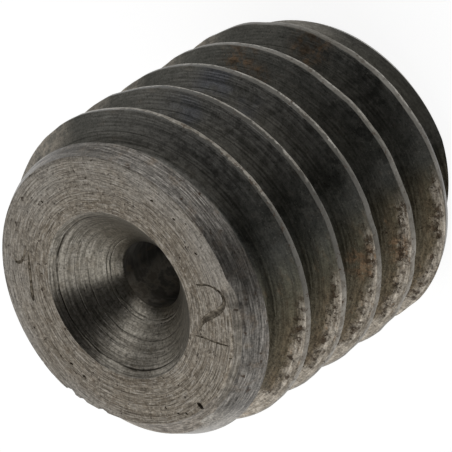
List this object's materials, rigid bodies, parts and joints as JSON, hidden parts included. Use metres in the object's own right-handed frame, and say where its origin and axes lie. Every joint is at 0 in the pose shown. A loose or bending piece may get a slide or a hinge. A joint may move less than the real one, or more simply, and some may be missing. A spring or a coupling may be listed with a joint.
{
  "type": "throttle screw",
  "caption": "Headless threaded plug with a countersunk face, a small through orifice that throttles the flow, and a hex socket in its other end.",
  "frame": {"origin": "centre of the flat ring at the socket end, on which the screw stands", "axes": "+Z along the thread axis from the socket end to the countersunk face; +X through the point where a crest meets the base plane"},
  "size_m": [0.0058, 0.0058, 0.006],
  "materials": {
    "steel": "turned steel, dark, with tool marks and specks of rust"
  },
  "bodies": {
    "root": {"throttle_screw": "steel"}
  },
  "joints": []
}
